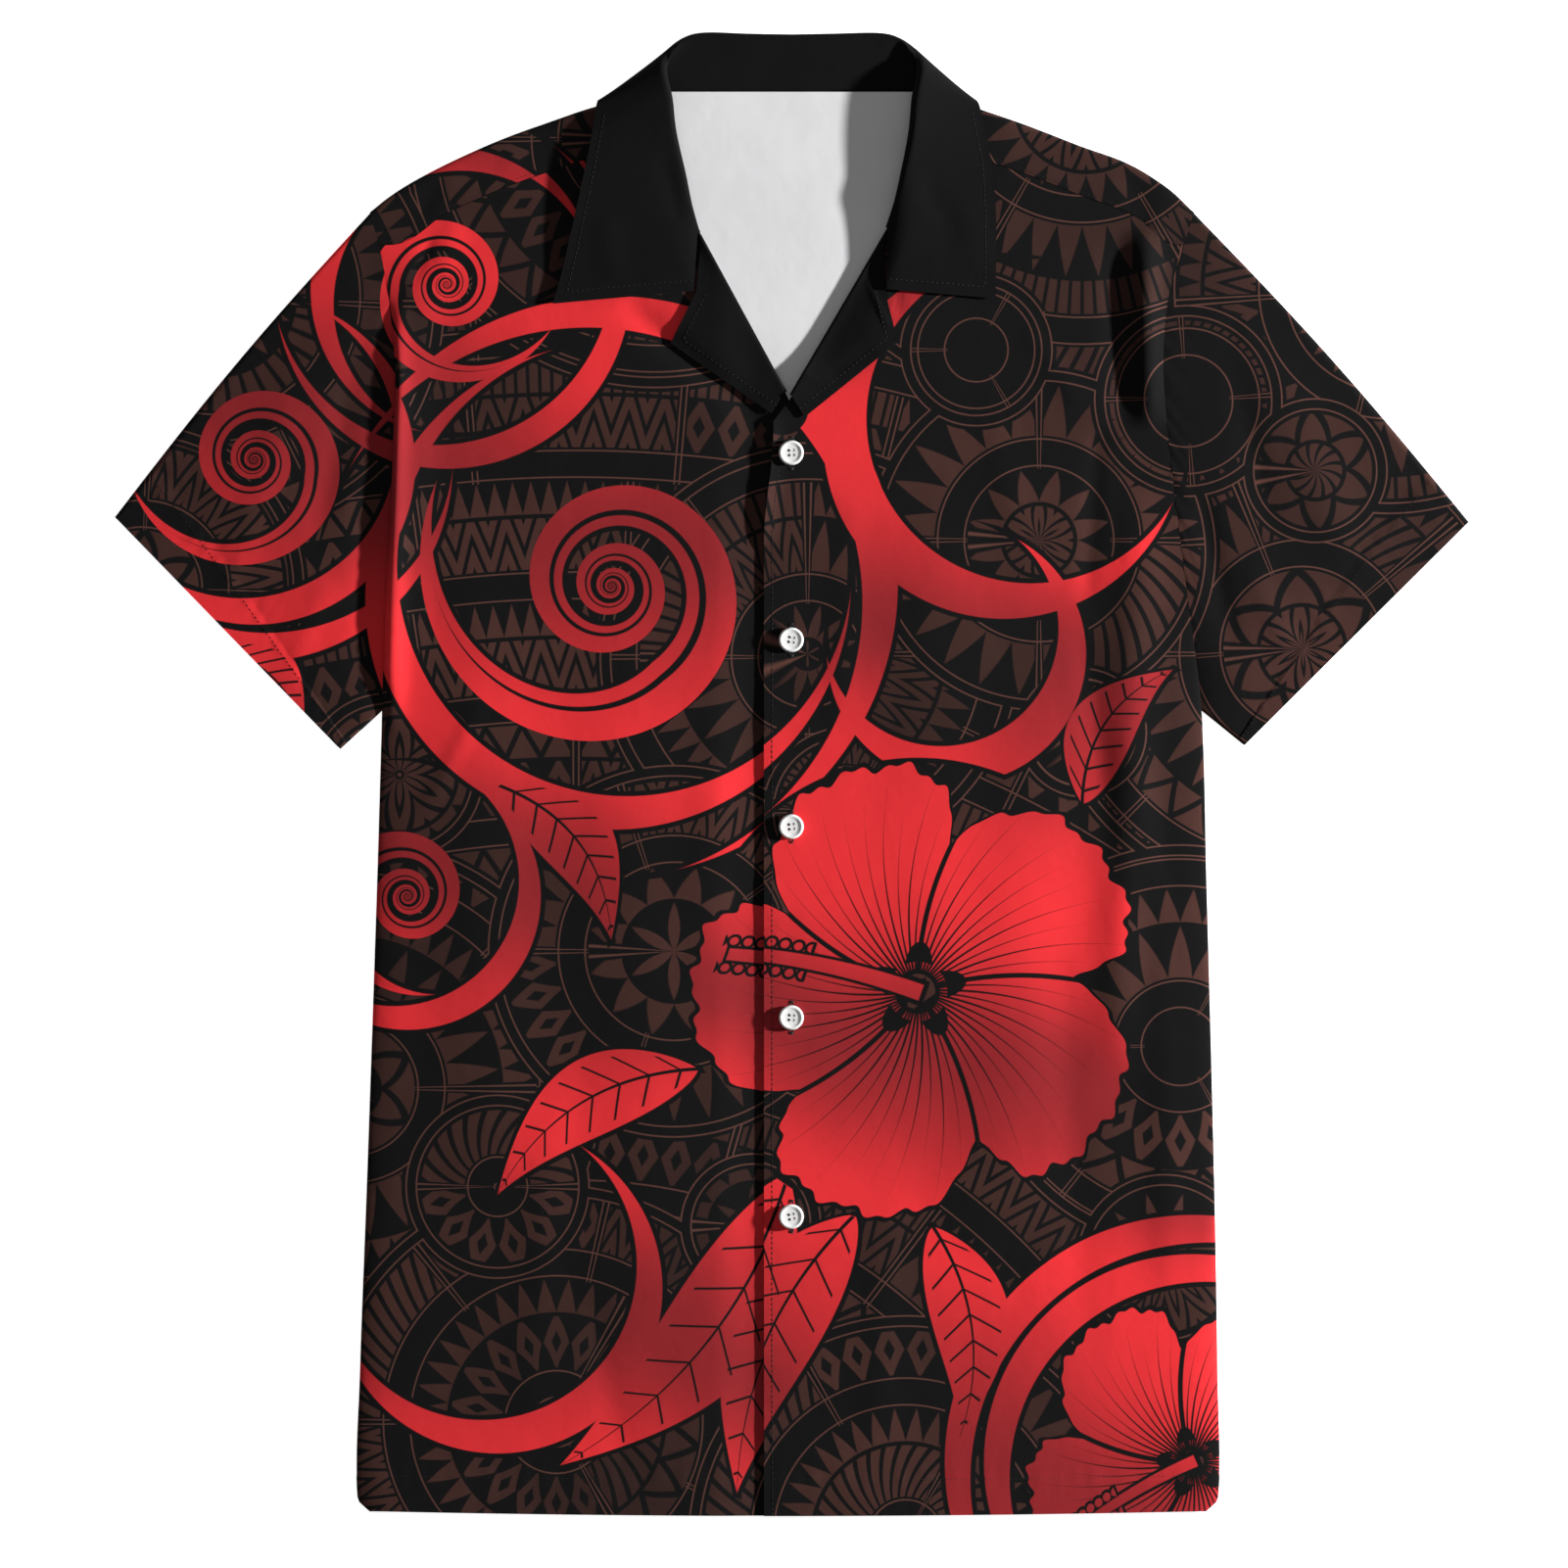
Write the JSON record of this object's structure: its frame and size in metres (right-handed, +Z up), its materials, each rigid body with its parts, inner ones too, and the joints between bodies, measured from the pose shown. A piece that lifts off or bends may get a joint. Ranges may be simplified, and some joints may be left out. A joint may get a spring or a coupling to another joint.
{
  "type": "hawaiian shirt",
  "caption": "Short-sleeved camp-collar shirt with an all-over print, buttoned up the front and laid flat on its back.",
  "frame": {"origin": "middle of the shirt's bounding box, on the surface that it lies on", "axes": "+X towards the wearer's left sleeve, +Y towards the collar, +Z up from the surface to the fronts"},
  "size_m": [0.691, 0.7567, 0.0135],
  "materials": {
    "printed_cloth": "soft plain weave, black ground with a red and brown print, white inside",
    "black_cloth": "soft plain weave, plain black",
    "buttons": "polished white"
  },
  "bodies": {
    "root": {"back": "printed_cloth", "front_right": "printed_cloth", "front_left": "printed_cloth", "sleeve_right": "printed_cloth", "sleeve_left": "printed_cloth", "collar": "black_cloth", "lapel_right": "black_cloth", "lapel_left": "black_cloth", "button_1": "buttons", "button_2": "buttons", "button_3": "buttons", "button_4": "buttons", "button_5": "buttons"}
  },
  "joints": []
}
